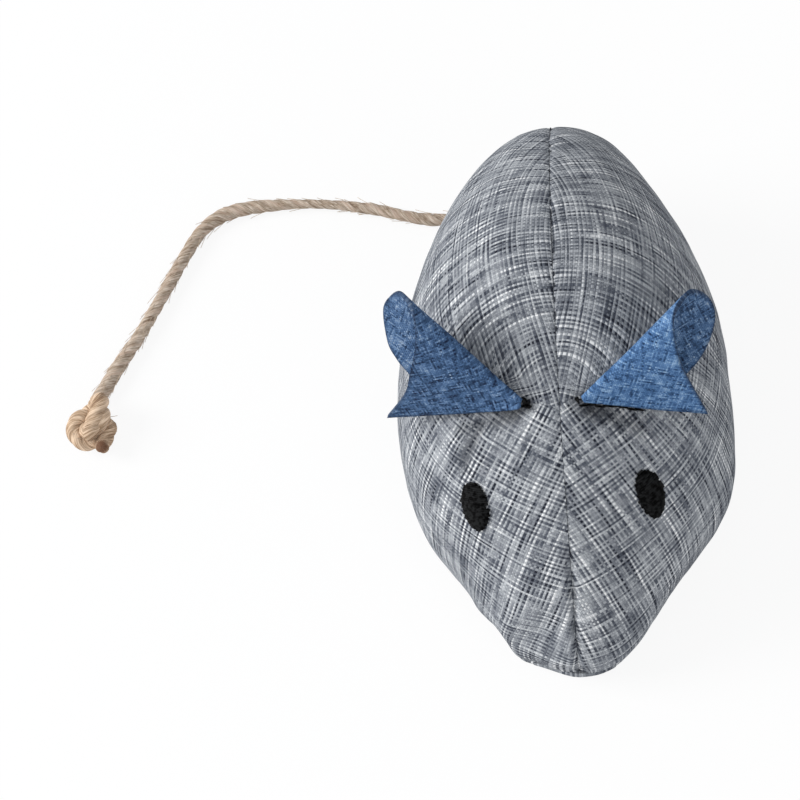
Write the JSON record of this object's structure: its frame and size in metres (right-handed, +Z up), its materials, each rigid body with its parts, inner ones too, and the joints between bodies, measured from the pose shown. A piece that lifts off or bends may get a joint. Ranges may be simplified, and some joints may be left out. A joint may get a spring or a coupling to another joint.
{
  "type": "catnip mouse",
  "caption": "Stuffed fabric mouse for a cat, with a flat belly, hinged cone ears sewn into darts, stitched eyes and a knotted cord tail.",
  "frame": {"origin": "middle of the flat belly on the ground", "axes": "+Z up, nose towards -Y, the mouse's own left towards +X"},
  "size_m": [0.1174, 0.102, 0.0577],
  "materials": {
    "linen": "slub linen-look weave of white, grey-blue and charcoal threads",
    "chambray": "blue heathered weave",
    "embroidery": "black satin stitch",
    "jute": "twisted natural jute cord",
    "fibre_fill": "white polyester fibre",
    "dried_catnip": "dried green leaf",
    "sewing_thread": "grey polyester thread"
  },
  "bodies": {
    "body": {"side_panel_left": "linen", "side_panel_right": "linen", "belly_panel": "linen", "eye_left": "embroidery", "eye_right": "embroidery", "stuffing_left": "fibre_fill", "stuffing_right": "fibre_fill", "catnip_filling": "dried_catnip", "tail_anchor_knot": "jute", "dorsal_seam_thread": "sewing_thread", "belly_seam_thread": "sewing_thread"},
    "ear_left": {"ear_left": "chambray"},
    "ear_right": {"ear_right": "chambray"},
    "tail": {"tail_cord": "jute", "tail_knot": "jute"}
  },
  "joints": [
    {"name": "ear_left_flip", "type": "hinge", "parent": "body", "child": "ear_left", "pos_m": [0.00298, -0.0207, 0.04252], "axis": [0.9319, 0.0537, -0.3588], "range_deg": [0, 40], "stiffness_Nm_per_rad": 0.002},
    {"name": "ear_right_flip", "type": "hinge", "parent": "body", "child": "ear_right", "pos_m": [-0.00536, -0.0204, 0.04227], "axis": [0.9029, -0.2177, 0.3705], "range_deg": [0, 40], "stiffness_Nm_per_rad": 0.002},
    {"name": "tail_swing", "type": "hinge", "parent": "body", "child": "tail", "pos_m": [0, 0.0461, 0.0029], "axis": [0, 0, 1], "range_deg": [-150, 0]}
  ]
}
